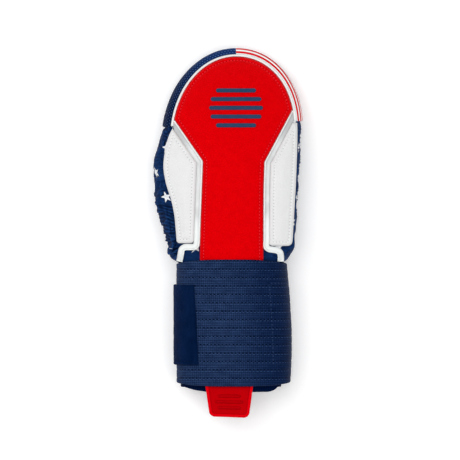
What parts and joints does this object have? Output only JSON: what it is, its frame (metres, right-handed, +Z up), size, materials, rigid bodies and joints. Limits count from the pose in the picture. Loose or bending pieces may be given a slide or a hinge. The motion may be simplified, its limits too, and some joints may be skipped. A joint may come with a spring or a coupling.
{
  "type": "sliding mitt",
  "caption": "Padded mitt for one hand: a hollow fabric sleeve with padded back and palm, a fingertip guard, and a wide wrist strap with a hook tab and a pull tab.",
  "frame": {"origin": "middle of the mitt's outline, on the surface that it lies on", "axes": "+X across the hand from the thumb's side, +Y towards the fingertips, +Z up out of the back of the hand"},
  "size_m": [0.1192, 0.2952, 0.0586],
  "materials": {
    "star_fabric": "matt print",
    "cuff_fabric": "matt",
    "palm_leather": "grained",
    "red_leather": "grained",
    "white_leather": "grained",
    "rail_rubber": "satin",
    "piping_fabric": "matt",
    "guard_mesh": "matt mesh",
    "guard_stripe": "red and white stripes",
    "strap_elastic": "ribbed weave",
    "tab_fabric": "napped",
    "pull_rubber": "satin",
    "rib_rubber": "satin"
  },
  "bodies": {
    "root": {"sleeve": "star_fabric", "cuff": "cuff_fabric", "palm_pad": "palm_leather", "back_panel": "red_leather", "wing_left": "white_leather", "wing_right": "white_leather", "rail_left": "rail_rubber", "rail_right": "rail_rubber", "piping": "piping_fabric", "guard_left": "guard_mesh", "guard_right": "guard_stripe", "wrist_strap": "strap_elastic", "hook_tab": "tab_fabric", "pull_tab": "pull_rubber", "grip_rib_1": "rib_rubber", "grip_rib_2": "rib_rubber", "grip_rib_3": "rib_rubber", "grip_rib_4": "rib_rubber", "grip_rib_5": "rib_rubber"}
  },
  "joints": []
}
